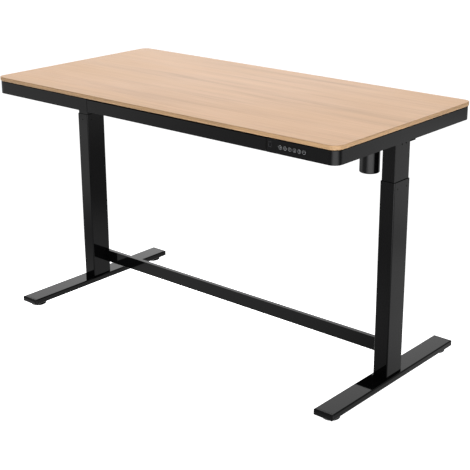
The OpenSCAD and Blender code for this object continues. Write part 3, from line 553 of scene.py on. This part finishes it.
# The keys' signs in shares of a key's radius: down, up, three memories and a timer
DOWN = [[(-0.4, 0.0), (0, -0.45), (0.4, 0.0)], [(0, -0.45), (0, 0.5)]]
UP = [[(u, -v) for u, v in stroke] for stroke in DOWN]
ONE = [[(-0.22, 0.25), (0.05, 0.5), (0.05, -0.5)]]
TWO = [[(-0.3, 0.25), (-0.15, 0.48), (0.15, 0.48), (0.3, 0.25), (-0.3, -0.48), (0.32, -0.48)]]
THREE = [[(-0.3, 0.48), (0.3, 0.48), (0.0, 0.08), (0.25, 0.0), (0.28, -0.3), (0.0, -0.5),
          (-0.3, -0.35)]]
TIMER = [[(0, 0.45), (0, 0), (0.32, -0.18)]]
KEY_SIGNS = (DOWN, UP, ONE, TWO, THREE, TIMER)


def slab(shape, corners, y, height):
    """A thin plate on the front face: corners are (x, z) pairs, and it stands out by height."""
    back = [shape.verts.new((x, y, z)) for x, z in corners]
    front = [shape.verts.new((x, y - height, z)) for x, z in corners]
    shape.faces.new(front)
    shape.faces.new(list(reversed(back)))
    for i in range(len(corners)):
        j = (i + 1) % len(corners)
        shape.faces.new((front[j], front[i], back[i], back[j]))


def ribbon(shape, points, y, width, height):
    """Printed line of a width through the points."""
    for (x0, z0), (x1, z1) in zip(points, points[1:]):
        along = Vector((x1 - x0, z1 - z0)).normalized() * width / 2
        across = Vector((-along.y, along.x))
        start = Vector((x0, z0)) - along * STROKE_OVERRUN
        end = Vector((x1, z1)) + along * STROKE_OVERRUN
        slab(shape, [start - across, end - across, end + across, start + across], y, height)


def ring(shape, middle, y, radius, width, height):
    """Printed circle with an outer radius."""
    for i in range(RING_STEPS):
        a, b = (2 * math.pi * k / RING_STEPS for k in (i, i + 1))
        slab(shape, [(middle[0] + r * math.cos(t), middle[1] + r * math.sin(t))
                     for r, t in ((radius - width, a), (radius, a), (radius, b), (radius - width, b))],
             y, height)


# ------------------------------------------------------------------ operators

class DESK_OT_tabletop(bpy.types.Operator):
    """Veneered top with a rounded edge band and a backing sheet"""
    bl_idname = "desk.tabletop"
    bl_label = "Tabletop"

    def execute(self, context):
        top = context.scene.desk_top
        low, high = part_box("tabletop")
        up, down = top.upper_round, top.lower_round
        turns = [math.pi / 2 * i / EDGE_STEPS for i in range(EDGE_STEPS + 1)]

        def fill(shape):
            profile = [(down * (1 - math.sin(a)), low.z + down * (1 - math.cos(a))) for a in turns]
            profile += [(up * (1 - math.cos(a)), high.z - up * (1 - math.sin(a))) for a in turns]
            rings = [[(x, y, z) for x, y in outline(high.x - back, high.y - back, CORNER_RADIUS - back)]
                     for back, z in profile]
            rows = loft(shape, rings, 1)
            under = shape.faces.new(list(reversed(rows[0])))
            under.material_index = 2
            over = shape.faces.new(rows[-1])
            over.material_index = 0

        piece = new_piece("tabletop_veneered", fill,
                          [finish("veneer"), finish("edge"), finish("backing")],
                          body_of("tabletop"), "wood", "tabletop")
        smooth(piece, TOP_KEPT_ANGLE)
        return {"FINISHED"}


PAINTED = ("left_foot", "right_foot", "left_outer_tube", "right_outer_tube", "crossbar",
           "left_inner_tube", "right_inner_tube", "front_apron", "left_apron", "right_apron",
           "rear_apron", "left_side_beam", "right_side_beam", "rear_rail", "drawer_front")


class DESK_OT_painted_frame(bpy.types.Operator):
    """Gloss black tubes, feet, aprons, beams and drawer front"""
    bl_idname = "desk.painted_frame"
    bl_label = "Painted frame"

    def execute(self, context):
        edge = context.scene.desk_paint.edge
        for node in PAINTED:
            rounded_piece(node, edge, finish("black_metal"))
        rounded_piece("motor_can", edge, finish("motor_black"))
        return {"FINISHED"}


class DESK_OT_mouldings(bpy.types.Operator):
    """Plastic caps, levelling feet, collars, boxes and tray"""
    bl_idname = "desk.mouldings"
    bl_label = "Mouldings"

    def execute(self, context):
        edge = context.scene.desk_paint.edge
        for node in ("left_foot_caps", "right_foot_caps", "control_box", "motor_gearbox", "power_inlet",
                     "left_leveller_front", "left_leveller_rear", "right_leveller_front",
                     "right_leveller_rear", "drawer_tray"):
            rounded_piece(node, edge, finish(slot_of(node)))
        for node in ("left_collar", "right_collar", "tube_shoes", "motor_cable"):
            dress(node, finish(slot_of(node)))
        return {"FINISHED"}


class DESK_OT_metalwork(bpy.types.Operator):
    """Bare metal: screws, gears, shafts, slides, plates and castings"""
    bl_idname = "desk.metalwork"
    bl_label = "Metalwork"

    def execute(self, context):
        for part in frame["record"]["subparts"]:
            if part["material_slot"] in ("plain_steel", "cast_alloy", "bronze", "board"):
                dress(part["node"], finish(part["material_slot"]))
        for node in ("base_screws", "frame_screws"):
            dress(node, finish("black_steel"))
        return {"FINISHED"}


class DESK_OT_touch_panel(bpy.types.Operator):
    """Glossy touch panel and its printed keys"""
    bl_idname = "desk.touch_panel"
    bl_label = "Touch panel"

    def execute(self, context):
        panel = context.scene.desk_panel
        rounded_piece("touch_panel", PANEL_ROUND, finish("panel_gloss"))
        rounded_piece("usb_socket", SOCKET_ROUND, finish("dark_nickel"))
        dress("touch_keys", finish("panel_gloss"))
        low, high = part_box("touch_keys")
        size = high.z - low.z
        pitch = (high.x - low.x - size) / (len(KEY_SIGNS) - 1)

        def fill(shape):
            for i, strokes in enumerate(KEY_SIGNS):
                middle = (low.x + size / 2 + i * pitch, (low.z + high.z) / 2)
                scale = panel.key_size / 2
                ring(shape, middle, low.y, scale, panel.key_line, panel.print_height)
                for stroke in strokes:
                    points = [(middle[0] + u * scale, middle[1] + v * scale) for u, v in stroke]
                    ribbon(shape, points, low.y, panel.key_line, panel.print_height)

        new_piece("key_signs", fill, [finish("key_print")], body_of("touch_keys"), "key_print")
        return {"FINISHED"}


class DESK_OT_stage(bpy.types.Operator):
    """Camera, a grey floor that gives off light, and the sky"""
    bl_idname = "desk.stage"
    bl_label = "Stage"

    def execute(self, context):
        s = context.scene.desk_stage
        self.place_camera(context, s)
        self.lay_floor(s)
        self.light_sky(context, s)
        return {"FINISHED"}

    def place_camera(self, context, s):
        data = bpy.data.cameras.new("camera")
        data.lens = s.lens
        data.sensor_width = SENSOR_WIDTH
        data.shift_x = s.shift_x
        data.shift_y = s.shift_y
        data.clip_end = VIEW_DEPTH
        camera = bpy.data.objects.new("camera", data)
        camera.location = s.camera_place
        camera.rotation_euler = (math.pi / 2 - s.camera_down, 0, s.camera_turn)
        context.scene.collection.objects.link(camera)
        context.scene.camera = camera

    def lay_floor(self, s):
        mesh = bpy.data.meshes.new("floor")
        half = s.floor_size / 2
        mesh.from_pydata([(-half, -half, 0), (half, -half, 0), (half, half, 0), (-half, half, 0)],
                         [], [(0, 1, 2, 3)])
        f = Finish("lit_floor", Specular_IOR_Level=0.0, Roughness=0.9, Emission_Strength=1.0)
        soft = f.noise(0.8, detail=2.0)
        glow = f.spread(soft, s.floor_glow, s.floor_glow + GLOW_DRIFT)
        for setting, x, y, radius in POOLS:
            glow = glow + self.pool(f, x, y, radius) * getattr(s, setting)
        f.feed(Base_Color=f.ramp(soft, (0.3, FLOOR_DARK), (0.7, FLOOR_LIGHT)),
               Emission_Color=f.add("ShaderNodeCombineColor", Red=glow, Green=glow, Blue=glow))
        mesh.materials.append(f.material)
        floor = bpy.data.objects.new("floor", mesh)
        bpy.context.scene.collection.objects.link(floor)

    def pool(self, f, x, y, radius):
        """A soft round pool of light: 1 in its middle, fading past its radius."""
        offset = f.add("ShaderNodeVectorMath", {"operation": "SUBTRACT"}, _0=f.place, _1=(x, y, 0))
        away = f.add("ShaderNodeVectorMath", {"operation": "LENGTH"}, out="Value", _0=offset)
        return math.e ** ((away / radius) ** POOL_FALL * -1.0)

    def light_sky(self, context, s):
        world = bpy.data.worlds.new("soft_sky")
        world.use_nodes = True
        world.node_tree.nodes.clear()
        sky = Nodes(world.node_tree)
        toward = sky.add("ShaderNodeTexCoord", out="Generated")
        height = sky.add("ShaderNodeSeparateXYZ", out=2, Vector=toward)
        rise = sky.add("ShaderNodeMapRange", {"interpolation_type": "SMOOTHSTEP"},
                       Value=height, From_Min=RISE_FROM, From_Max=RISE_TO)
        facing = sky.add("ShaderNodeVectorMath", {"operation": "DOT_PRODUCT"}, out="Value",
                         _0=toward, _1=Vector(BACK_DIRECTION).normalized())
        back = facing.maths("MAXIMUM", facing, 0.0) ** BACK_TIGHTNESS
        strength = rise * s.sky_high + back * s.sky_back + s.sky_low
        glow = sky.add("ShaderNodeBackground", Color=(1, 1, 1, 1), Strength=strength)
        sky.add("ShaderNodeOutputWorld", out=None, Surface=glow)
        context.scene.world = world
        context.scene.view_settings.view_transform = "Standard"


OPERATORS = (DESK_OT_stage, DESK_OT_tabletop, DESK_OT_painted_frame, DESK_OT_mouldings,
             DESK_OT_metalwork, DESK_OT_touch_panel)


class DESK_PT_pieces(bpy.types.Panel):
    """Lists the desk's pieces in the sidebar"""
    bl_idname = "DESK_PT_pieces"
    bl_label = "Desk"
    bl_space_type = "VIEW_3D"
    bl_region_type = "UI"
    bl_category = "Desk"

    def draw(self, context):
        for operator in OPERATORS:
            self.layout.operator(operator.bl_idname)


CLASSES = (*SETTINGS.values(), *OPERATORS, DESK_PT_pieces)


def register():
    for cls in CLASSES:
        bpy.utils.register_class(cls)
    for name, cls in SETTINGS.items():
        setattr(bpy.types.Scene, name, PointerProperty(type=cls))


def unregister():
    for name in SETTINGS:
        delattr(bpy.types.Scene, name)
    for cls in reversed(CLASSES):
        bpy.utils.unregister_class(cls)


def corners(box):
    return [[float(c) for c in corner] for corner in box]


def main():
    register()
    for operator in OPERATORS:
        group, name = operator.bl_idname.split(".")
        getattr(getattr(bpy.ops, group), name)()


if __name__ == "__main__":
    main()
